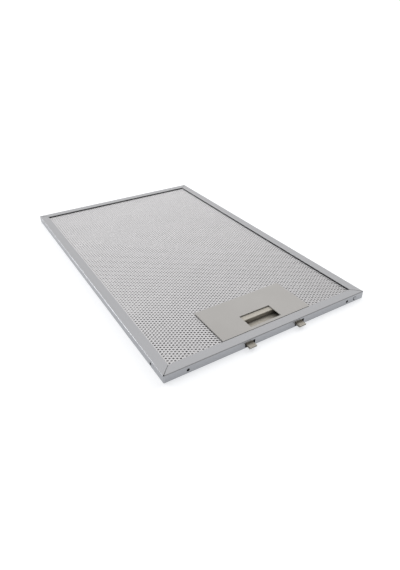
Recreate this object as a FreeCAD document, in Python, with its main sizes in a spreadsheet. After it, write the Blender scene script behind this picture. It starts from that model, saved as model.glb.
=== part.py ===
import FreeCAD, Part
import os
import re
import Sketcher

# Cooker hood grease filter: an aluminium channel frame round two expanded meshes and loose foils,
# with a moulded finger plate and a sprung latch at the front. Millimetres, +Z towards the cook's side,
# -Y towards the latch. The origin is the middle of the footprint, tabs included, on the underside.

sizes = {
    # frame strip
    "frame_width": 250.0,
    "frame_length": 396.0,
    "frame_height": 9.0,
    "strip_gauge": 0.6,
    "flange_width": 10.5,
    "bend_radius": 0.9,
    "corner_radius": 1.0,
    "mitre_gap": 0.5,
    "relief_radius": 0.7,
    "relief_inset": 0.9,
    "relief_depth": 1.3,
    "drain_radius": 1.6,
    "drain_from_corner": 25.0,
    "drain_height": 4.2,
    "lap_length": 18.0,
    "lap_edge": 0.4,
    "clinch_radius": 2.2,
    "clinch_heart": 1.6,
    "clinch_offset": 0.45,
    "clinch_depth": 0.9,
    "clinch_from_corner": 13.5,
    # expanded meshes, drawn as a ridged sheet with slits between its ridges
    "mesh_height": 1.0,
    "mesh_sheet": 0.5,
    "mesh_border": 9.0,
    "ridge_pitch": 2.975,
    "ridge_foot": 1.4,
    "ridge_crest": 0.5,
    "band_ridges": 4,
    "slit_width": 1.2,
    "slit_length": 122.0,
    "slit_bridge": 6.0,
    "edge_clearance": 0.2,
    "flange_gap": 0.9,
    # foils between the meshes
    "foil_count": 6,
    "foil_gauge": 0.15,
    "foil_pitch": 14.0,
    # finger plate
    "plate_width": 110.0,
    "plate_depth": 53.0,
    "plate_gauge": 1.0,
    "plate_corner": 0.8,
    "plate_edge": 0.3,
    "plate_gap": 0.7,
    "window_width": 38.0,
    "window_depth": 19.8,
    "window_inset": 3.7,
    "rib_wall": 1.2,
    "peg_radius": 1.5,
    # tray under the plate
    "tray_width": 92.0,
    "tray_depth": 40.3,
    "tray_wall": 1.2,
    "tray_floor": 0.9,
    "tray_inset": 0.7,
    "rim_width": 4.0,
    "rim_gauge": 1.0,
    "boss_wall": 1.2,
    "boss_sink": 0.6,
    # latch slider and its spring
    "tab_spacing": 62.6,
    "tab_width": 8.0,
    "tab_reach": 6.0,
    "tab_bevel": 1.3,
    "tab_round": 0.6,
    "arm_shoulder": 2.0,
    "arm_overlap": 3.0,
    "arm_step": 2.0,
    "slider_gauge": 1.6,
    "cross_depth": 12.4,
    "bar_depth": 8.5,
    "bar_overlap": 3.0,
    "bar_show": 6.8,
    "bar_round": 0.5,
    "slot_side": 2.0,
    "slot_sill": 0.5,
    "slot_head": 2.6,
    "spring_gauge": 0.4,
    "spring_height": 4.0,
    "spring_span": 56.0,
    # running and assembly clearances
    "run_clearance": 0.3,
    "side_clearance": 0.4,
    "seat_clearance": 0.1,
    "peg_clearance": 0.05,
}

# Places worked out from the sizes. Handle pieces count y from the front wall's outer face.
derived = {
    "shift": "tab_reach / 2",
    "front": "tab_reach / 2 - frame_length / 2",
    "inside": "2 * strip_gauge + edge_clearance",
    "mesh_top": "frame_height - strip_gauge - flange_gap",
    "mesh_under": "mesh_top - mesh_height",
    "pack_floor": "strip_gauge + mesh_height",
    "foil_height": "(mesh_under - pack_floor) / foil_count",
    "band_pitch": "band_ridges * ridge_pitch",
    "slit_columns": "floor((frame_width - 2 * mesh_border) / band_pitch)",
    "slit_first": "-(slit_columns - 1) / 2 * band_pitch",
    "slit_step": "slit_length + slit_bridge",
    "slit_rows": "floor((frame_length - 2 * mesh_border + slit_bridge) / slit_step)",
    "ridge_first": "slit_first - band_pitch + ridge_pitch / 2",
    "ridge_length": "frame_length - 2 * inside",
    "plate_front": "flange_width + plate_gap",
    "plate_rear": "plate_front + plate_depth",
    "plate_under": "frame_height - plate_gauge",
    "window_front": "plate_front + window_inset",
    "window_rear": "window_front + window_depth",
    "tray_front": "plate_front + tray_inset",
    "well_front": "tray_front + tray_wall",
    "well_rear": "well_front + tray_depth",
    "tray_rear": "well_rear + tray_wall",
    "tray_half": "tray_width / 2 + tray_wall",
    "floor_top": "pack_floor + tray_floor",
    "boss_radius": "peg_radius + peg_clearance + boss_wall",
    "peg_across": "tray_width / 2 - boss_radius + boss_sink",
    "peg_front": "well_front + boss_radius - boss_sink",
    "peg_rear": "well_rear - boss_radius + boss_sink",
    "slider_under": "floor_top + run_clearance",
    "slider_top": "slider_under + slider_gauge",
    "tab_under": "pack_floor + run_clearance",
    "slot_width": "tab_width + 2 * slot_side",
    "arm_inner": "tab_spacing / 2 - tab_width / 2",
    "arm_outer": "tab_spacing / 2 + tab_width / 2",
    "arm_front": "strip_gauge + seat_clearance",
    "shoulder_inner": "arm_inner - arm_shoulder",
    "shoulder_outer": "arm_outer + arm_shoulder",
    "shoulder_front": "well_front + seat_clearance",
    "bar_front": "window_rear - bar_show",
    "cross_rear": "bar_front + cross_depth",
    "spring_front": "cross_rear + seat_clearance",
    "spring_rise": "well_rear - seat_clearance - spring_front - spring_gauge",
    "spring_radius": "(spring_span * spring_span / 4 + spring_rise * spring_rise) / (2 * spring_rise)",
}

doc = FreeCAD.newDocument("GreaseFilter")
sheet = doc.addObject("Spreadsheet::Sheet", "Sizes")
for row, (alias, size) in enumerate(sizes.items(), start=1):
    sheet.set("A%d" % row, alias)
    sheet.set("B%d" % row, str(size))
    sheet.setAlias("B%d" % row, alias)
doc.recompute()


def formula(text):
    """Expression on the sheet's cells, with each derived place written out."""
    def word(match):
        name = match.group(0)
        if name in derived:
            return "(" + formula(derived[name]) + ")"
        return "Sizes." + name if name in sizes else name
    return re.sub(r"[a-z][a-z_]*", word, text)


def number(text):
    return float(sheet.evalExpression(formula(text)))


def new_body(label, y="0", z="0"):
    body = doc.addObject("PartDesign::Body", label)
    body.Label = label
    body.setExpression("Placement.Base.y", formula(y))
    body.setExpression("Placement.Base.z", formula(z))
    return body


def origin(body, role):
    return next(item for item in body.Origin.OriginFeatures if item.Role == role)


def sketch_on(body, plane, height="0"):
    """Empty sketch on one of the body's planes, raised along the plane's normal."""
    sketch = body.newObject("Sketcher::SketchObject", body.Label + "_sketch")
    sketch.AttachmentSupport = [(origin(body, plane), "")]
    sketch.MapMode = "FlatFace"
    sketch.setExpression("AttachmentOffset.Base.z", formula(height))
    return sketch


def set_point(sketch, line, end, x, y):
    for kind, text in (("DistanceX", x), ("DistanceY", y)):
        index = sketch.addConstraint(Sketcher.Constraint(kind, line, end, number(text)))
        sketch.setExpression("Constraints[%d]" % index, formula(text))


def outline(sketch, points):
    """Closed straight-sided outline through points given as pairs of formulas."""
    places = [FreeCAD.Vector(number(x), number(y), 0) for x, y in points]
    first = sketch.GeometryCount
    for start, end in zip(places, places[1:] + places[:1]):
        sketch.addGeometry(Part.LineSegment(start, end))
    for index, (x, y) in enumerate(points):
        before = first + (index - 1) % len(points)
        sketch.addConstraint(Sketcher.Constraint("Coincident", before, 2, first + index, 1))
        set_point(sketch, first + index, 1, x, y)


def rectangle(sketch, left, right, low, high):
    outline(sketch, [(left, low), (right, low), (right, high), (left, high)])


def circle(sketch, x, y, radius):
    centre = FreeCAD.Vector(number(x), number(y), 0)
    index = sketch.addGeometry(Part.Circle(centre, FreeCAD.Vector(0, 0, 1), number(radius)))
    set_point(sketch, index, 3, x, y)
    limit = sketch.addConstraint(Sketcher.Constraint("Radius", index, number(radius)))
    sketch.setExpression("Constraints[%d]" % limit, formula(radius))


def pad(sketch, length, along=True, both=False):
    """Solid from a sketch, along its normal, against it, or half to each side."""
    feature = sketch.getParentGeoFeatureGroup().newObject("PartDesign::Pad", "Pad")
    feature.Profile = sketch
    feature.setExpression("Length", formula(length))
    feature.Reversed = not along
    feature.SideType = "Symmetric" if both else "One side"
    doc.recompute()
    return feature


def pocket(sketch, length, along=True, both=False):
    """Cut from a sketch, along its normal, against it, or half to each side."""
    body = sketch.getParentGeoFeatureGroup()
    before = body.Shape.Volume
    feature = body.newObject("PartDesign::Pocket", "Pocket")
    feature.Profile = sketch
    feature.setExpression("Length", formula(length))
    feature.Reversed = along
    feature.SideType = "Symmetric" if both else "One side"
    doc.recompute()
    if not feature.Shape.Volume < before:
        raise RuntimeError(body.Label + ": a pocket cut nothing")
    return feature


def repeat(feature, axis, step, count, cross=None, cross_step=None, cross_count=None):
    """Copies of a feature in a row along one axis, or in rows along two."""
    body = feature.getParentGeoFeatureGroup()
    pattern = body.newObject("PartDesign::LinearPattern", "Row")
    pattern.Originals = [feature]
    pattern.Direction = (origin(body, axis), [""])
    pattern.Mode = "Spacing"
    pattern.setExpression("Offset", formula(step))
    pattern.setExpression("Occurrences", formula(count))
    if cross:
        pattern.Direction2 = (origin(body, cross), [""])
        pattern.Mode2 = "Spacing"
        pattern.setExpression("Offset2", formula(cross_step))
        pattern.setExpression("Occurrences2", formula(cross_count))
    body.Tip = pattern
    doc.recompute()
    return pattern


def soften(body, kind, size, wanted):
    """Fillet or chamfer on the edges of the body that answer to wanted."""
    feature = body.newObject("PartDesign::" + kind, kind)
    base = feature.BaseFeature
    edges = ["Edge%d" % place for place, edge in enumerate(base.Shape.Edges, start=1) if wanted(edge)]
    feature.Base = (base, edges)
    feature.setExpression("Radius" if kind == "Fillet" else "Size", formula(size))
    doc.recompute()


def upright(edge):
    return edge.BoundBox.ZLength > max(edge.BoundBox.XLength, edge.BoundBox.YLength)


def level(edge, height):
    return edge.BoundBox.ZLength < 1e-6 and abs(edge.BoundBox.ZMin - number(height)) < 1e-6


def make_frame():
    """Channel strip folded round the filter, mitred at the corners and lapped at the front right."""
    body = new_body("frame", y="shift")
    half_width, half_length = "frame_width / 2", "frame_length / 2"

    block = sketch_on(body, "XY_Plane")
    rectangle(block, "-" + half_width, half_width, "-" + half_length, half_length)
    pad(block, "frame_height")
    soften(body, "Fillet", "corner_radius", upright)
    soften(body, "Fillet", "bend_radius", lambda edge: not upright(edge))

    opening = sketch_on(body, "XY_Plane")
    rectangle(opening, "flange_width - " + half_width, half_width + " - flange_width",
              "flange_width - " + half_length, half_length + " - flange_width")
    pocket(opening, "frame_height")

    channel = sketch_on(body, "XY_Plane", "strip_gauge")
    rectangle(channel, "strip_gauge - " + half_width, half_width + " - strip_gauge",
              "strip_gauge - " + half_length, half_length + " - strip_gauge")
    pocket(channel, "frame_height - 2 * strip_gauge")

    mitres = sketch_on(body, "XY_Plane")
    near, far = "strip_gauge + mitre_gap / 2", "flange_width + mitre_gap"
    lean = "mitre_gap / (2 * sqrt(2))"
    for side in ("-1", "1"):
        for end in ("-1", "1"):
            corners = []
            for along, sign in ((near, "+"), (far, "+"), (far, "-"), (near, "-")):
                opposite = "-" if sign == "+" else "+"
                corners.append(("%s * (%s - (%s %s %s))" % (side, half_width, along, sign, lean),
                                "%s * (%s - (%s %s %s))" % (end, half_length, along, opposite, lean)))
            outline(mitres, corners)
    pocket(mitres, "frame_height")

    for height, upward in (("0", True), ("frame_height", False)):
        reliefs = sketch_on(body, "XY_Plane", height)
        for side in ("-1", "1"):
            for end in ("-1", "1"):
                circle(reliefs, "%s * (%s - relief_inset)" % (side, half_width),
                       "%s * (%s - relief_inset)" % (end, half_length), "relief_radius")
        pocket(reliefs, "relief_depth", along=upward)

    slots = sketch_on(body, "XZ_Plane")
    for side in ("-1", "1"):
        rectangle(slots, side + " * tab_spacing / 2 - slot_width / 2",
                  side + " * tab_spacing / 2 + slot_width / 2",
                  "tab_under - slot_sill", "slider_top + slot_head")
    pocket(slots, "frame_length")

    front_drains = sketch_on(body, "XZ_Plane")
    for side in ("-1", "1"):
        circle(front_drains, side + " * (frame_width / 2 - drain_from_corner)",
               "drain_height", "drain_radius")
    pocket(front_drains, "frame_length")

    side_drains = sketch_on(body, "YZ_Plane")
    circle(side_drains, "drain_from_corner - frame_length / 2", "drain_height", "drain_radius")
    pocket(side_drains, "2 * frame_width", both=True)

    lap = sketch_on(body, "XZ_Plane", "frame_length / 2 - strip_gauge")
    rectangle(lap, "frame_width / 2 - lap_length", "frame_width / 2 - strip_gauge",
              "strip_gauge + lap_edge", "frame_height - strip_gauge - lap_edge")
    pad(lap, "strip_gauge", along=False)

    clinch = sketch_on(body, "XZ_Plane", "frame_length / 2")
    middle = "frame_width / 2 - clinch_from_corner"
    circle(clinch, middle, "frame_height / 2", "clinch_radius")
    circle(clinch, middle + " + clinch_offset", "frame_height / 2", "clinch_heart")
    pocket(clinch, "clinch_depth", along=False)
    return body


def make_mesh(label, face_up):
    """Sheet with ridges outward and rows of slits: the expanded mesh of one face."""
    body = new_body(label, y="shift", z="mesh_under" if face_up else "pack_floor")
    if not face_up:
        body.Placement.Rotation = FreeCAD.Rotation(FreeCAD.Vector(0, 1, 0), 180)
    half_width, half_length = "(frame_width / 2 - inside)", "(frame_length / 2 - inside)"

    sheet_outline = sketch_on(body, "XY_Plane")
    rectangle(sheet_outline, "-" + half_width, half_width, "-" + half_length, half_length)
    pad(sheet_outline, "mesh_sheet")

    band = sketch_on(body, "XZ_Plane")
    for place in range(int(number("band_ridges"))):
        middle = "ridge_first + %d * ridge_pitch" % place
        outline(band, [(middle + " - ridge_foot / 2", "mesh_sheet"),
                       (middle + " + ridge_foot / 2", "mesh_sheet"),
                       (middle + " + ridge_crest / 2", "mesh_height"),
                       (middle + " - ridge_crest / 2", "mesh_height")])
    repeat(pad(band, "ridge_length", both=True), "X_Axis", "band_pitch", "slit_columns + 1")

    # Slits between the bands of ridges, every second column half a step along.
    for first, columns, rows in (("slit_first", "ceil(slit_columns / 2)", "slit_rows"),
                                 ("slit_first + band_pitch", "floor(slit_columns / 2)", "slit_rows - 1")):
        slit = sketch_on(body, "XY_Plane")
        start = "-(%s - 1) / 2 * slit_step" % rows
        rectangle(slit, first + " - slit_width / 2", first + " + slit_width / 2",
                  start + " - slit_length / 2", start + " + slit_length / 2")
        repeat(pocket(slit, "mesh_sheet"), "X_Axis", "2 * band_pitch", columns,
               "Y_Axis", "slit_step", rows)

    if face_up:
        cut_for_tray(body, "tray_half + side_clearance", "tray_rear + side_clearance", "mesh_height")
    return body


def cut_for_tray(body, reach, depth, height):
    """Notch in the front edge of a sheet, where the latch tray sits."""
    notch = sketch_on(body, "XY_Plane")
    rectangle(notch, "-(%s)" % reach, reach, "-frame_length / 2", depth + " - frame_length / 2")
    pocket(notch, height)


def make_foil(place):
    """Pleated foil, its pleats crosswise to those of the foils above and below."""
    body = new_body("foil_%d" % (place + 1), y="shift", z="pack_floor + %d * foil_height" % place)
    spans = ("(frame_width - 2 * inside)", "(frame_length - 2 * inside)")
    across, along = spans if place % 2 == 0 else spans[::-1]
    pleats = "floor(%s / foil_pitch)" % across
    start = "-%s * foil_pitch / 2" % pleats

    pleat = sketch_on(body, "XZ_Plane" if place % 2 == 0 else "YZ_Plane")
    outline(pleat, [(start, "0"),
                    (start + " + foil_pitch / 2", "foil_height - foil_gauge"),
                    (start + " + foil_pitch", "0"),
                    (start + " + foil_pitch", "foil_gauge"),
                    (start + " + foil_pitch / 2", "foil_height"),
                    (start, "foil_gauge")])
    axis = "X_Axis" if place % 2 == 0 else "Y_Axis"
    repeat(pad(pleat, along, both=True), axis, "foil_pitch", pleats)
    cut_for_tray(body, "tray_half + rim_width + side_clearance",
                 "tray_rear + rim_width + side_clearance", "foil_height")
    return body


def peg_places():
    """Centres of the four pegs that join plate and tray."""
    return [(side + " * peg_across", y) for side in ("-1", "1") for y in ("peg_front", "peg_rear")]


def u_wall(sketch, inner, wall, front, rear):
    """Three-sided wall, open at the front, round a space of half-width inner."""
    outer = "(%s + %s)" % (inner, wall)
    back = "%s + %s" % (rear, wall)
    outline(sketch, [("-(%s)" % inner, front), ("-(%s)" % inner, rear), (inner, rear), (inner, front),
                     (outer, front), (outer, back), ("-" + outer, back), ("-" + outer, front)])


def make_handle_plate():
    """Finger plate with its window, a rib that bears on the mesh and four pegs."""
    body = new_body("handle_plate", y="front")
    plate = sketch_on(body, "XY_Plane", "plate_under")
    rectangle(plate, "-plate_width / 2", "plate_width / 2", "plate_front", "plate_rear")
    pad(plate, "plate_gauge")
    soften(body, "Fillet", "plate_corner", upright)

    window = sketch_on(body, "XY_Plane", "plate_under")
    rectangle(window, "-window_width / 2", "window_width / 2", "window_front", "window_rear")
    pocket(window, "plate_gauge")
    soften(body, "Fillet", "plate_edge", lambda edge: level(edge, "frame_height"))

    rib = sketch_on(body, "XY_Plane", "plate_under")
    u_wall(rib, "tray_half + rim_width - rib_wall", "rib_wall",
           "tray_front", "tray_rear + rim_width - rib_wall")
    pad(rib, "plate_under - mesh_top", along=False)

    pegs = sketch_on(body, "XY_Plane", "plate_under")
    for x, y in peg_places():
        circle(pegs, x, y, "peg_radius")
    pad(pegs, "plate_under - floor_top - seat_clearance", along=False)
    return body


def make_latch_tray():
    """Open tray on the back mesh: floor of the finger well, guide of the slider, seat of the mesh."""
    body = new_body("latch_tray", y="front")
    floor = sketch_on(body, "XY_Plane", "pack_floor")
    rectangle(floor, "-(tray_half)", "tray_half", "tray_front", "tray_rear")
    pad(floor, "tray_floor")

    walls = sketch_on(body, "XY_Plane", "floor_top")
    rectangle(walls, "-(tray_half)", "tray_half", "tray_front", "tray_rear")
    rectangle(walls, "-tray_width / 2", "tray_width / 2", "well_front", "well_rear")
    pad(walls, "plate_under - floor_top")

    passages = sketch_on(body, "XY_Plane", "floor_top")
    for side in ("-1", "1"):
        middle = side + " * tab_spacing / 2"
        reach = "(tab_width / 2 + side_clearance)"
        rectangle(passages, "%s - %s" % (middle, reach), "%s + %s" % (middle, reach),
                  "tray_front", "well_front")
    pocket(passages, "plate_under - floor_top")

    rim = sketch_on(body, "XY_Plane", "mesh_under")
    u_wall(rim, "tray_half", "rim_width", "tray_front", "tray_rear")
    pad(rim, "rim_gauge", along=False)

    bosses = sketch_on(body, "XY_Plane", "floor_top")
    for x, y in peg_places():
        circle(bosses, x, y, "boss_radius")
    pad(bosses, "plate_under - floor_top")
    sockets = sketch_on(body, "XY_Plane", "floor_top")
    for x, y in peg_places():
        circle(sockets, x, y, "peg_radius + peg_clearance")
    pocket(sockets, "plate_under - floor_top")
    return body


def make_latch_slider():
    """Slider with a finger bar in the window and two bevelled tabs through the front wall."""
    body = new_body("latch_slider", y="front")
    base = sketch_on(body, "XY_Plane", "slider_under")
    right = [("shoulder_outer", "cross_rear"), ("shoulder_outer", "shoulder_front"),
             ("arm_outer", "shoulder_front"), ("arm_outer", "arm_front"),
             ("arm_inner", "arm_front"), ("arm_inner", "shoulder_front"),
             ("shoulder_inner", "shoulder_front"), ("shoulder_inner", "bar_front")]
    outline(base, right + [("-(%s)" % x, y) for x, y in reversed(right)])
    pad(base, "slider_gauge")

    steps = sketch_on(body, "XY_Plane", "slider_top")
    for side in ("-1", "1"):
        middle = side + " * tab_spacing / 2"
        rectangle(steps, middle + " - tab_width / 2", middle + " + tab_width / 2",
                  "arm_front", "bar_front")
    pad(steps, "arm_step")

    bar = sketch_on(body, "XY_Plane", "slider_under")
    reach = "(window_width / 2 + bar_overlap)"
    rectangle(bar, "-" + reach, reach, "bar_front", "bar_front + bar_depth")
    pad(bar, "plate_under - run_clearance - slider_under")
    soften(body, "Fillet", "bar_round", lambda edge: level(edge, "plate_under - run_clearance"))

    tabs = sketch_on(body, "XY_Plane", "tab_under")
    for side in ("-1", "1"):
        middle = side + " * tab_spacing / 2"
        rectangle(tabs, middle + " - tab_width / 2", middle + " + tab_width / 2",
                  "-tab_reach", "arm_front + arm_overlap")
    pad(tabs, "slider_top - tab_under")

    def tip(edge):
        return abs(edge.BoundBox.YMax - number("-tab_reach")) < 1e-6

    soften(body, "Chamfer", "tab_bevel", lambda edge: tip(edge) and level(edge, "tab_under"))
    soften(body, "Fillet", "tab_round", lambda edge: tip(edge) and upright(edge))
    return body


def make_bow_spring():
    """Bowed strip between the slider's back and the tray's rear wall."""
    rings = []
    for name, radius in (("BowOuter", "spring_radius"), ("BowInner", "spring_radius - spring_gauge")):
        ring = doc.addObject("Part::Cylinder", name)
        ring.setExpression("Radius", formula(radius))
        ring.setExpression("Height", formula("spring_height"))
        ring.setExpression("Angle", formula("2 * asin(spring_span / 2 / spring_radius)"))
        rings.append(ring)
    bow = doc.addObject("Part::Cut", "bow_spring")
    bow.Label = "bow_spring"
    bow.Base, bow.Tool = rings
    turn = "270 - asin(spring_span / 2 / spring_radius) / 1 deg"
    bow.setExpression("Placement.Rotation.Angle", formula(turn))
    bow.setExpression("Placement.Base.y", formula("front + spring_front + spring_radius"))
    bow.setExpression("Placement.Base.z", formula("floor_top + seat_clearance"))
    return bow


pieces = [make_frame(), make_mesh("cover_mesh", True), make_mesh("back_mesh", False)]
pieces += [make_foil(place) for place in range(int(number("foil_count")))]
pieces += [make_handle_plate(), make_latch_tray(), make_latch_slider(), make_bow_spring()]
doc.recompute()

for item in doc.Objects:
    if "Invalid" in item.State or "Error" in item.State:
        raise RuntimeError("%s did not build: %s" % (item.Label, item.State))
for piece in pieces:
    if piece.Shape.isNull() or not piece.Shape.isValid() or len(piece.Shape.Solids) != 1:
        raise RuntimeError(piece.Label + " is not one valid solid")

os.makedirs("parts", exist_ok=True)
for piece in pieces:
    piece.Shape.exportStep("parts/%s.step" % piece.Label)
    box = piece.Shape.BoundBox
    print("%-13s x %8.2f %8.2f  y %8.2f %8.2f  z %6.2f %6.2f" % (
        piece.Label, box.XMin, box.XMax, box.YMin, box.YMax, box.ZMin, box.ZMax))
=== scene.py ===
import math

import bpy
import numpy as np
from mathutils import Matrix, Vector


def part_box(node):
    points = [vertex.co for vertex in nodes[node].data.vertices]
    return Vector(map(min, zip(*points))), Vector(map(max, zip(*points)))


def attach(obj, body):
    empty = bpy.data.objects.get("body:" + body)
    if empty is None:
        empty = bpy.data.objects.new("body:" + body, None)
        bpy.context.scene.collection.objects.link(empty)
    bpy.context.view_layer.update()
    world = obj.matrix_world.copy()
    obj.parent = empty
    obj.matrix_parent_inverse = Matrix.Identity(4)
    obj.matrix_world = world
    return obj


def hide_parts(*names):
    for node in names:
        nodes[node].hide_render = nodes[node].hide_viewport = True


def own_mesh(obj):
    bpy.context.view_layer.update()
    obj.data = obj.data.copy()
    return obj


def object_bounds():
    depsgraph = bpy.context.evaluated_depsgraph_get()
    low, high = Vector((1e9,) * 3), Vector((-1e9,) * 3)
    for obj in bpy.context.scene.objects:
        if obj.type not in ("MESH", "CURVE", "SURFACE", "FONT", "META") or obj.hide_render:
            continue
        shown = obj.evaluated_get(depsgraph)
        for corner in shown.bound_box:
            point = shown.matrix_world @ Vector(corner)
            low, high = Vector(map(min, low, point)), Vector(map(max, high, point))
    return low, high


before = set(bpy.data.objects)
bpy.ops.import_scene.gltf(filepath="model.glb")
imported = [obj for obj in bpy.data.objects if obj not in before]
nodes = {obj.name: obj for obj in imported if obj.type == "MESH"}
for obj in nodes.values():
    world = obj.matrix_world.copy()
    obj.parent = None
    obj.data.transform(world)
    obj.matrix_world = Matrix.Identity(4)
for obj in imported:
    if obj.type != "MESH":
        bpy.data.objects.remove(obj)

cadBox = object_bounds()
scene = bpy.context.scene
mm = 0.001
print("frame loaded:", len(nodes), "CAD nodes")


# helpers for node trees: every finish is laid out on object coordinates

finishBase = {
    "noiseSpan": (0.3, 0.7),   # noise levels that become darkest and lightest
    "paintedShadeSamples": 8,
}


def emptyTree(owner):
    owner.use_nodes = True
    owner.node_tree.nodes.clear()
    return owner.node_tree


def placeOn(tree, coordinates):
    return tree.nodes.new("ShaderNodeTexCoord").outputs[coordinates]


def newFinish(name, metallic):
    material = bpy.data.materials.new(name)
    tree = emptyTree(material)
    output = tree.nodes.new("ShaderNodeOutputMaterial")
    shader = tree.nodes.new("ShaderNodeBsdfPrincipled")
    shader.inputs["Metallic"].default_value = metallic
    tree.links.new(shader.outputs["BSDF"], output.inputs["Surface"])
    return material, tree, shader, placeOn(tree, "Object")


def axesOf(tree, vector):
    node = tree.nodes.new("ShaderNodeSeparateXYZ")
    tree.links.new(vector, node.inputs[0])
    return node.outputs


def mathNode(tree, operation, first, second=None):
    node = tree.nodes.new("ShaderNodeMath")
    node.operation = operation
    for socket, value in zip(node.inputs, (first, second)):
        if isinstance(value, (int, float)):
            socket.default_value = value
        elif value is not None:
            tree.links.new(value, socket)
    return node.outputs[0]


def stretched(tree, place, scale):
    node = tree.nodes.new("ShaderNodeMapping")
    node.inputs["Scale"].default_value = scale
    tree.links.new(place, node.inputs["Vector"])
    return node.outputs[0]


def noise(tree, place, scale, detail, rough):
    node = tree.nodes.new("ShaderNodeTexNoise")
    node.inputs["Scale"].default_value = scale
    node.inputs["Detail"].default_value = detail
    node.inputs["Roughness"].default_value = rough
    tree.links.new(place, node.inputs["Vector"])
    return node.outputs[0]


def spread(tree, value, low, high, span=finishBase["noiseSpan"]):
    node = tree.nodes.new("ShaderNodeMapRange")
    tree.links.new(value, node.inputs["Value"])
    sockets = ("From Min", "From Max", "To Min", "To Max")
    for socket, limit in zip(sockets, (*span, low, high)):
        node.inputs[socket].default_value = limit
    return node.outputs[0]


def tint(tree, value, finish):
    node = tree.nodes.new("ShaderNodeValToRGB")
    colors = (finish["dark"], finish["light"])
    ends = zip(node.color_ramp.elements, finishBase["noiseSpan"], colors)
    for end, position, color in ends:
        end.position = position
        end.color = (*color, 1)
    tree.links.new(value, node.inputs[0])
    return node.outputs[0]


def blendNode(tree, share, first, second):
    node = tree.nodes.new("ShaderNodeMix")
    for socket, value in zip(("Factor", "A", "B"), (share, first, second)):
        if isinstance(value, (int, float)):
            node.inputs[socket].default_value = value
        else:
            tree.links.new(value, node.inputs[socket])
    return node.outputs["Result"]


def mixed(tree, first, second, share):
    return mathNode(tree, "ADD", mathNode(tree, "MULTIPLY", first, share),
                    mathNode(tree, "MULTIPLY", second, 1 - share))


def scaledColor(tree, color, shade):
    node = tree.nodes.new("ShaderNodeVectorMath")
    node.operation = "SCALE"
    tree.links.new(color, node.inputs[0])
    tree.links.new(shade, node.inputs["Scale"])
    return node.outputs[0]


# painted shade: base colour darkened by ambient occlusion in hollows and where other parts
# close round a surface
def paintedShadeIn(tree, place, finish, color):
    node = tree.nodes.new("ShaderNodeAmbientOcclusion")
    node.samples = finishBase["paintedShadeSamples"]
    node.only_local = finish["paintedShadeAlone"]
    node.inputs["Distance"].default_value = finish["paintedShadeReach"]
    shade = spread(tree, node.outputs["AO"], finish["paintedShadeDark"], 1.0, finish["paintedShadeSpan"])
    if "paintedShadeFreeSpan" in finish:   # no painted shade on what stands out in front
        inside = spread(tree, axesOf(tree, place)[1], 0.0, 1.0, finish["paintedShadeFreeSpan"])
        shade = blendNode(tree, inside, 1.0, shade)
    return scaledColor(tree, color, shade)


def dress(tree, shader, color, roughness):
    tree.links.new(color, shader.inputs["Base Color"])
    tree.links.new(roughness, shader.inputs["Roughness"])


def bump(tree, shader, height, strength, distance):
    node = tree.nodes.new("ShaderNodeBump")
    node.inputs["Strength"].default_value = strength
    node.inputs["Distance"].default_value = distance
    tree.links.new(height, node.inputs["Height"])
    tree.links.new(node.outputs[0], shader.inputs["Normal"])


def pastEdges(tree, place):
    x, y, _ = axesOf(tree, place)
    low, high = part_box("frame")
    half = (high - low) / 2
    offY = mathNode(tree, "SUBTRACT", y, (low.y + high.y) / 2)
    pastSide = mathNode(tree, "SUBTRACT", mathNode(tree, "ABSOLUTE", x), half.x)
    pastEnd = mathNode(tree, "SUBTRACT", mathNode(tree, "ABSOLUTE", offY), half.y)
    return pastSide, pastEnd   # below zero inside the frame


# finish of the folded strip: rolling lines run along each rail

frameFinish = {
    "dark": (0.362, 0.369, 0.387),
    "light": (0.388, 0.396, 0.413),
    "roughness": (0.32, 0.42),
    "lineScale": 900.0,        # rolling lines across the strip, per metre
    "lineLength": 9.0,
    "lines": (1.0, 4.0, 0.6),  # scale, detail and roughness of the noise
    "lineShare": 0.6,          # the rest is clouds
    "lineBump": (0.10, 0.05 * mm),  # strength and depth
    "clouds": (26.0, 4.0, 0.6),
    "paintedShadeAlone": True,         # painted shade in its own seams and holes only
    "paintedShadeReach": 3.0 * mm,
    "paintedShadeDark": 0.25,
    "paintedShadeSpan": (0.35, 0.85),
    "bendPaintedShade": 0.70,          # painted dark reflection along the front bend, and along the bottom rear bend
    "bendShadeSpan": (-0.40, -0.10),
}


def makeFrameFinish():
    finish = frameFinish
    material, tree, shader, place = newFinish("millAluminium", metallic=1.0)
    onSide = mathNode(tree, "GREATER_THAN", *pastEdges(tree, place))  # 1 on the long rails
    across, along = finish["lineScale"], finish["lineLength"]
    sidePlace = stretched(tree, place, (across, along, across))
    endPlace = stretched(tree, place, (along, across, across))
    sideLines = noise(tree, sidePlace, *finish["lines"])
    endLines = noise(tree, endPlace, *finish["lines"])
    lines = blendNode(tree, onSide, endLines, sideLines)
    clouds = noise(tree, place, *finish["clouds"])
    blend = mixed(tree, lines, clouds, finish["lineShare"])
    color = paintedShadeIn(tree, place, finish, tint(tree, blend, finish))
    # painted dark reflection: colour darkened where the normal leans between front and top,
    # or between back and bottom
    normal = tree.nodes.new("ShaderNodeNewGeometry").outputs["Normal"]
    _, normalY, normalZ = axesOf(tree, normal)
    turned = mathNode(tree, "MULTIPLY", normalY, normalZ)
    bendShade = spread(tree, turned, finish["bendPaintedShade"], 1.0, finish["bendShadeSpan"])
    roughness = spread(tree, blend, *finish["roughness"])
    dress(tree, shader, scaledColor(tree, color, bendShade), roughness)
    bump(tree, shader, lines, *finish["lineBump"])
    return material


# finish of the expanded sheets: bright strands, each a little different

meshFinish = {
    "dark": (0.631, 0.631, 0.648),
    "light": (0.671, 0.671, 0.688),
    "roughness": (0.36, 0.42),
    "strands": (420.0, 2.0, 0.5),
    "strandShare": 0.65,
    "strandBump": (0.06, 0.08 * mm),
    "clouds": (18.0, 3.0, 0.5),
}
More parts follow.
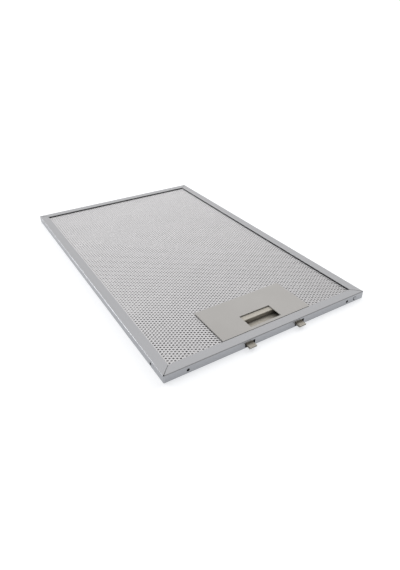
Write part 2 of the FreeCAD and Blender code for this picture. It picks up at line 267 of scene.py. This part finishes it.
# foil colour: aluminium, set far darker than the face sheets as painted shade for the dim
# inside of the pack
foilFinish = {
    "dark": (0.225, 0.225, 0.23),
    "light": (0.295, 0.295, 0.30),
    "roughness": (0.42, 0.55),
    "strands": (300.0, 2.0, 0.5),
    "strandShare": 0.65,
    "strandBump": (0.06, 0.08 * mm),
    "clouds": (30.0, 3.0, 0.5),
}


def makeStrandFinish(name, finish):
    material, tree, shader, place = newFinish(name, metallic=1.0)
    strands = noise(tree, place, *finish["strands"])
    clouds = noise(tree, place, *finish["clouds"])
    blend = mixed(tree, strands, clouds, finish["strandShare"])
    roughness = spread(tree, strands, *finish["roughness"])
    dress(tree, shader, tint(tree, blend, finish), roughness)
    bump(tree, shader, strands, *finish["strandBump"])
    return material


# finish of the mouldings: fine spark-eroded grain, faint flow clouds

plateFinish = {
    "dark": (0.429, 0.420, 0.408),
    "light": (0.478, 0.469, 0.457),
    "roughness": (0.42, 0.56),
    "grain": (2600.0, 2.0, 0.6),
    "grainShare": 0.3,
    "grainBump": (0.10, 0.04 * mm),
    "clouds": (24.0, 3.0, 0.5),
    # painted shade in the plate's own hollows, such as the walls of its window
    "paintedShadeAlone": True,
    "paintedShadeReach": 2.0 * mm,
    "paintedShadeDark": 0.6,
    "paintedShadeSpan": (0.35, 0.85),
}
latchFinish = {
    "dark": (0.49, 0.465, 0.41),
    "light": (0.55, 0.52, 0.46),
    "roughness": (0.36, 0.50),
    "grain": (3200.0, 2.0, 0.6),
    "grainShare": 0.3,
    "grainBump": (0.06, 0.04 * mm),
    "clouds": (40.0, 3.0, 0.5),
    "paintedShadeAlone": False,        # painted shade where the plate and the frame shut it in
    "paintedShadeReach": 9.0 * mm,
    "paintedShadeDark": 0.22,
    "paintedShadeSpan": (0.30, 0.85),
    "paintedShadeFreeSpan": (-195.5 * mm, -193.0 * mm),  # no painted shade on the tabs outside the front wall
}


def makePlasticFinish(name, finish):
    material, tree, shader, place = newFinish(name, metallic=0.0)
    grain = noise(tree, place, *finish["grain"])
    clouds = noise(tree, place, *finish["clouds"])
    blend = mixed(tree, grain, clouds, finish["grainShare"])
    color = paintedShadeIn(tree, place, finish, tint(tree, blend, finish))
    dress(tree, shader, color, spread(tree, blend, *finish["roughness"]))
    bump(tree, shader, grain, *finish["grainBump"])
    return material


# finish of the spring: bright strip with drawing lines along it

springFinish = {
    "dark": (0.34, 0.34, 0.34),
    "light": (0.46, 0.46, 0.46),
    "roughness": (0.22, 0.36),
    "lineScale": (60.0, 60.0, 5200.0),
    "lines": (1.0, 3.0, 0.6),
    "lineBump": (0.08, 0.04 * mm),
}


def makeSpringFinish():
    finish = springFinish
    material, tree, shader, place = newFinish("springStrip", metallic=1.0)
    lines = noise(tree, stretched(tree, place, finish["lineScale"]), *finish["lines"])
    roughness = spread(tree, lines, *finish["roughness"])
    dress(tree, shader, tint(tree, lines, finish), roughness)
    bump(tree, shader, lines, *finish["lineBump"])
    return material


millAluminium = makeFrameFinish()
meshAluminium = makeStrandFinish("meshAluminium", meshFinish)
foilAluminium = makeStrandFinish("foilAluminium", foilFinish)
platePlastic = makePlasticFinish("platePlastic", plateFinish)
latchPlastic = makePlasticFinish("latchPlastic", latchFinish)
springStrip = makeSpringFinish()
print("finishes made:", len(bpy.data.materials))


# the CAD pieces that keep their shape get a finish

keptPieces = {
    "frame": millAluminium,
    "handle_plate": platePlastic,
    "latch_tray": latchPlastic,
    "latch_slider": latchPlastic,
}
for nodeName, material in keptPieces.items():
    piece = nodes[nodeName]
    piece.data.materials.clear()
    piece.data.materials.append(material)
print("kept pieces dressed:", ", ".join(keptPieces))


# a new mesh, for what is drawn here and for the floor

def newPiece(name, vertices, faces):
    mesh = bpy.data.meshes.new(name)
    mesh.from_pydata(vertices, [], faces)
    mesh.update()
    piece = bpy.data.objects.new(name, mesh)
    scene.collection.objects.link(piece)
    return piece


# expanded sheets: slit and drawn metal, bonds joined by four tilted strands each

def bondGrid(low, high, look):
    reach = 2 * (look["bondHalf"] + look["crotch"]) + look["longPitch"] / 2
    columns = int((high.x - low.x - reach) / look["longPitch"])
    rows = int((high.y - low.y - 2 * look["strandWidth"]) / (look["shortPitch"] / 2))
    row, column = np.meshgrid(np.arange(rows + 1), np.arange(columns + 1), indexing="ij")
    stagger = 0.5              # of a pitch, for every other row
    place = column + stagger * (row % 2) - (columns + stagger) / 2
    x = (low.x + high.x) / 2 + place * look["longPitch"]
    y = (low.y + high.y) / 2 + (row - rows / 2) * look["shortPitch"] / 2
    return x, y


def expandedSheet(name, look, low, high, keep, rest, face, seed):
    x, y = bondGrid(low, high, look)
    rows, columns = x.shape
    random = np.random.default_rng(seed)
    x = x + random.normal(0, look["jitter"], x.shape)
    y = y + random.normal(0, look["jitter"], y.shape)
    lift = 1 + random.normal(0, look["liftVary"], x.shape)
    kept = keep(x, y)
    base = rest(x, y)
    half, width, rise = look["bondHalf"], look["strandWidth"], look["rise"] * lift
    crotch = half + look["crotch"]
    level = np.zeros(x.shape)
    keel = level - look["depth"]
    corners = (                # place on a bond: x, y, height
        (-half, -width, -rise), (half, -width, -rise), (crotch, 0, level),
        (half, width, rise), (-half, width, rise), (-crotch, 0, level),
        (crotch, 0, keel), (-crotch, 0, keel),
    )
    points = np.stack([np.stack([x + dx, y + dy, base + face * dz], -1)
                       for dx, dy, dz in corners], 2)
    number = -np.ones(x.shape, int)
    number[kept] = np.arange(kept.sum())
    vertices = points[kept].reshape(-1, 3)

    def neighbour(r, c, stepRow, right):
        shift = c + (r % 2) if right else c - 1 + (r % 2)
        nextRow = r + stepRow
        inside = (nextRow >= 0) & (nextRow < rows) & (shift >= 0) & (shift < columns)
        found = -np.ones(r.shape, int)
        found[inside] = number[nextRow[inside], shift[inside]]
        return found

    r, c = np.nonzero(kept)
    own = number[r, c] * len(corners)
    quads, triangles = [], []
    for quad in ((0, 1, 2, 5), (5, 2, 3, 4), (1, 0, 7, 6), (4, 3, 6, 7)):
        quads.append(np.stack([own + corner for corner in quad], -1))
    joins = (                  # strands to the bonds on the right: own and far corners
        (1, (2, 3, 6), (0, 5, 7)),    # rear right
        (-1, (1, 2, 6), (5, 4, 7)),   # front right
    )
    for step, (ownLow, ownHigh, ownKeel), (farLow, farHigh, farKeel) in joins:
        other = neighbour(r, c, step, True)
        near, far = own[other >= 0], other[other >= 0] * len(corners)
        for quad in (
            (near + ownLow, far + farLow, far + farHigh, near + ownHigh),
            (near + ownKeel, far + farKeel, far + farLow, near + ownLow),
            (near + ownHigh, far + farHigh, far + farKeel, near + ownKeel),
        ):
            quads.append(np.stack(quad, -1))
        free = own[other < 0]
        triangles.append(np.stack([free + ownLow, free + ownHigh, free + ownKeel], -1))
    for step, cap in ((-1, (5, 0, 7)), (1, (4, 5, 7))):  # bonds with no strand to the left
        free = own[neighbour(r, c, step, False) < 0]
        triangles.append(np.stack([free + corner for corner in cap], -1))
    polygons = [*np.concatenate(quads).tolist(), *np.concatenate(triangles).tolist()]
    if face < 0:
        polygons = [polygon[::-1] for polygon in polygons]
    return newPiece(name, vertices.tolist(), polygons)


def finishSheet(piece, node, material):
    piece.data.materials.append(material)
    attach(piece, "filter")
    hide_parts(node)
    triangles = sum(len(polygon.vertices) - 2 for polygon in piece.data.polygons)
    print(piece.name, "triangles:", triangles)


def everywhere(x, y):
    return np.ones(x.shape, bool)


def clearOfTray(gap):
    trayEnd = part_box("latch_tray")[1]
    return lambda x, y: ~((abs(x) < trayEnd.x + gap) & (y < trayEnd.y + gap))


# the two faces: diamonds 5.95 by 3.6 mm, long way across the filter

faceSheet = {
    "longPitch": 5.95 * mm,
    "shortPitch": 3.6 * mm,
    "bondHalf": 0.88 * mm,
    "crotch": 0.98 * mm,
    "strandWidth": 0.78 * mm,
    "rise": 0.22 * mm,         # rear edge of a bond above its middle
    "depth": 0.35 * mm,
    "jitter": 0.02 * mm,
    "liftVary": 0.03,
    "topRoom": 1.15,           # keeps the highest rise inside the node
    "notchGap": 0.6 * mm,      # room round the latch tray's walls
    "trayRim": 4.0 * mm,       # rim of the tray, under the mesh
    "seeds": (3, 4),
}


def makeFaceSheets():
    look = faceSheet
    notch = look["notchGap"] + look["bondHalf"] + look["crotch"] - look["trayRim"]
    coverSeed, backSeed = look["seeds"]
    sheets = (                 # the back faces down
        ("coverMesh", "cover_mesh", 1, clearOfTray(notch), coverSeed),
        ("backMesh", "back_mesh", -1, everywhere, backSeed),
    )
    for name, node, face, keep, seed in sheets:
        low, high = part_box(node)
        edge = high.z if face > 0 else low.z
        middle = edge - face * look["rise"] * look["topRoom"]
        piece = expandedSheet(name, look, low, high, keep,
                              lambda x, y: np.full(x.shape, middle), face, seed)
        finishSheet(piece, node, meshAluminium)


makeFaceSheets()


# the foils between: wider diamonds, no two alike, pleated one way and the other in turn

foilSheet = {
    "count": 6,
    "longPitch": 9.1 * mm,
    "shortPitch": 5.3 * mm,
    "widen": 0.07,             # growth of the diamonds from foil to foil
    "bondHalf": 1.1 * mm,
    "crotch": 0.4 * mm,
    "strandWidth": 0.6 * mm,
    "rise": 0.05 * mm,
    "depth": 0.06 * mm,
    "jitter": 0.25 * mm,
    "liftVary": 0.3,
    "pleat": 14.0 * mm,
    "notchGap": 2.0 * mm,
    "seed": 10,                # plus the foil's number
}


def makeFoils():
    keep = clearOfTray(foilSheet["notchGap"])
    for number in range(1, foilSheet["count"] + 1):
        node = "foil_%d" % number
        low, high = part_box(node)
        swing = (high.z - low.z) / 2 - foilSheet["rise"] - foilSheet["depth"]

        def pleated(x, y, low=low, high=high, swing=swing, alongX=number % 2 == 1):
            place = (x if alongX else y) / foilSheet["pleat"]
            wave = 2 * np.abs(place - np.floor(place) - 0.5) - 0.5  # zigzag, half up and down
            return (low.z + high.z) / 2 + 2 * swing * wave

        growth = 1 + foilSheet["widen"] * number
        look = dict(foilSheet, longPitch=foilSheet["longPitch"] * growth,
                    shortPitch=foilSheet["shortPitch"] * growth)
        piece = expandedSheet("foil%d" % number, look, low, high, keep, pleated, 1,
                              foilSheet["seed"] + number)
        finishSheet(piece, node, foilAluminium)


makeFoils()


# bow spring: a strip bent to an arc, one fixed shape (the real one flattens as the latch goes
# in)

bowSpring = {
    "gauge": 0.4 * mm,
    "segments": 28,
}


def makeBowSpring():
    low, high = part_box("bow_spring")
    gauge, count = bowSpring["gauge"], bowSpring["segments"]
    depth = high.y - low.y - gauge
    ring = 4                   # corners at each step
    vertices, faces = [], []
    for step in range(count + 1):
        share = 2 * step / count - 1
        x = (low.x + high.x) / 2 + share * (high.x - low.x) / 2
        y = low.y + depth * share * share
        for z in (low.z, high.z):
            vertices += [(x, y, z), (x, y + gauge, z)]
    for step in range(count):
        a, b = step * ring, (step + 1) * ring
        faces += [(a, b, b + 2, a + 2), (a + 1, a + 3, b + 3, b + 1),
                  (a, a + 1, b + 1, b), (a + 2, b + 2, b + 3, a + 3)]
    last = count * ring
    faces += [(0, 2, 3, 1), (last, last + 1, last + 3, last + 2)]
    piece = newPiece("bowSpring", vertices, faces)
    piece.data.materials.append(springStrip)
    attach(piece, "filter")
    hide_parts("bow_spring")
    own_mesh(piece)
    print("bow spring made")


makeBowSpring()


# pale floor, two softboxes, and a pale room that gives less light on the camera's side

studio = {
    "floorSize": 30.0,
    "floorDrop": 0.05 * mm,
    "floorColor": (0.50, 0.50, 0.50),
    "floorGlow": (0.645, 0.80),     # beside the filter, and farther out; lower beside it as painted shade on the floor round the filter, which the walls also mirror
    "glowSpan": (0.0, 0.12),
    "glowColor": (0.98, 0.997, 1.025),
    "coveredRim": 3.0 * mm,         # floor that reaches in under the frame
    "roomColor": (1.0, 0.985, 0.97),
    "roomLight": (0.10, 1.15),      # from the camera's side, and from the rear
    "lightSpan": (-0.5, 0.4),
    "roomShown": (0.48, 1.31),      # the same as seen and mirrored
    "shownSpan": (0.10, 0.35),
    "leftShown": (0.45, 1.0),       # share of that on the left, and on the right
    "leftSpan": (-0.25, 0.2),
    "overhead": 0.95,               # pale patch above
    "overheadSpan": (0.82, 0.95),   # from its edge to its middle
    "overheadPlace": (0.0, -0.25, 0.97),
    "horizon": 1.16,                # white low down
    "horizonSpan": (0.25, 0.70),    # heights between which it fades
    "below": 0.45,                  # what lights the underside
    "belowSpan": (-0.12, -0.02),
    "softboxes": {                  # place, size, power, and whether metal mirrors it
        "sideSoftbox": ((1.05, 0.05, 0.62), 0.6, 6.0, False),
        "rearSoftbox": ((-0.75, 0.80, 0.42), 0.4, 3.6, True),
    },
}


def seenRays(tree):
    path = tree.nodes.new("ShaderNodeLightPath").outputs
    seen = mathNode(tree, "MAXIMUM", path["Is Camera Ray"], path["Is Glossy Ray"])
    return mathNode(tree, "MAXIMUM", seen, path["Is Transmission Ray"])


def makeFloorFinish():
    material = bpy.data.materials.new("paleFloor")
    tree = emptyTree(material)
    output = tree.nodes.new("ShaderNodeOutputMaterial")
    matt = tree.nodes.new("ShaderNodeBsdfDiffuse")
    matt.inputs["Color"].default_value = (*studio["floorColor"], 1)
    glow = tree.nodes.new("ShaderNodeEmission")
    glow.inputs["Color"].default_value = (*studio["glowColor"], 1)
    away = mathNode(tree, "MAXIMUM", *pastEdges(tree, placeOn(tree, "Object")))
    shine = spread(tree, away, *studio["floorGlow"], studio["glowSpan"])
    tree.links.new(mathNode(tree, "MULTIPLY", seenRays(tree), shine), glow.inputs["Strength"])
    both = tree.nodes.new("ShaderNodeAddShader")
    tree.links.new(matt.outputs[0], both.inputs[0])
    tree.links.new(glow.outputs[0], both.inputs[1])
    clear = tree.nodes.new("ShaderNodeBsdfTransparent")
    behind = tree.nodes.new("ShaderNodeNewGeometry").outputs["Backfacing"]
    covered = mathNode(tree, "LESS_THAN", away, -studio["coveredRim"])
    choose = tree.nodes.new("ShaderNodeMixShader")  # no floor under the filter or from below
    tree.links.new(mathNode(tree, "MAXIMUM", behind, covered), choose.inputs[0])
    tree.links.new(both.outputs[0], choose.inputs[1])
    tree.links.new(clear.outputs[0], choose.inputs[2])
    tree.links.new(choose.outputs[0], output.inputs["Surface"])
    return material


def makeFloor():
    half = studio["floorSize"] / 2
    corners = [(-half, -half, 0), (half, -half, 0), (half, half, 0), (-half, half, 0)]
    floor = newPiece("floor", corners, [(0, 1, 2, 3)])
    floor.location.z = cadBox[0].z - studio["floorDrop"]
    floor.data.materials.append(makeFloorFinish())


def makeLamps():
    for name, (place, size, power, mirrored) in studio["softboxes"].items():
        data = bpy.data.lights.new(name, "AREA")
        data.shape = "SQUARE"
        data.size = size
        data.energy = power
        lamp = bpy.data.objects.new(name, data)
        lamp.location = place
        lamp.rotation_euler = (-Vector(place)).to_track_quat("-Z", "Y").to_euler()
        lamp.visible_camera = False
        lamp.visible_glossy = mirrored
        scene.collection.objects.link(lamp)


def makeRoom():
    world = bpy.data.worlds.new("paleRoom")
    scene.world = world
    tree = emptyTree(world)
    output = tree.nodes.new("ShaderNodeOutputWorld")
    room = tree.nodes.new("ShaderNodeBackground")
    room.inputs["Color"].default_value = (*studio["roomColor"], 1)
    way = placeOn(tree, "Generated")
    x, y, z = axesOf(tree, way)
    light = spread(tree, y, *studio["roomLight"], studio["lightSpan"])
    shown = spread(tree, y, *studio["roomShown"], studio["shownSpan"])
    leftShare = spread(tree, x, *studio["leftShown"], studio["leftSpan"])
    shown = mathNode(tree, "MULTIPLY", shown, leftShare)
    patch = tree.nodes.new("ShaderNodeVectorMath")
    patch.operation = "DOT_PRODUCT"
    tree.links.new(way, patch.inputs[0])
    patch.inputs[1].default_value = studio["overheadPlace"]
    inPatch = spread(tree, patch.outputs["Value"], 0.0, 1.0, studio["overheadSpan"])
    shown = blendNode(tree, inPatch, shown, studio["overhead"])
    high = spread(tree, z, 0.0, 1.0, studio["horizonSpan"])
    shown = blendNode(tree, high, studio["horizon"], shown)
    above = blendNode(tree, seenRays(tree), light, shown)
    overFloor = spread(tree, z, 0.0, 1.0, studio["belowSpan"])
    whole = blendNode(tree, overFloor, studio["below"], above)
    tree.links.new(whole, room.inputs["Strength"])
    tree.links.new(room.outputs[0], output.inputs["Surface"])


makeFloor()
makeLamps()
makeRoom()
scene.view_settings.view_transform = "Standard"
print("studio lit")


# camera where the photograph was taken from

viewPoint = {
    "stand": (-0.24334, -0.44853, 0.28132),
    "look": (0.44042, 0.71617, -0.54141),
    "rollDegrees": -0.247,
    "lens": 28.05,
    "sensor": 36.0,            # along the tall side
    "clip": (0.01, 100.0),
}


def makeCamera():
    data = bpy.data.cameras.new("camera")
    data.lens = viewPoint["lens"]
    data.sensor_width = viewPoint["sensor"]
    data.clip_start, data.clip_end = viewPoint["clip"]
    camera = bpy.data.objects.new("camera", data)
    turn = Vector(viewPoint["look"]).to_track_quat("-Z", "Y").to_matrix().to_4x4()
    roll = Matrix.Rotation(math.radians(viewPoint["rollDegrees"]), 4, "Z")
    camera.matrix_world = Matrix.Translation(viewPoint["stand"]) @ turn @ roll
    scene.collection.objects.link(camera)
    scene.camera = camera


makeCamera()
print("camera placed")
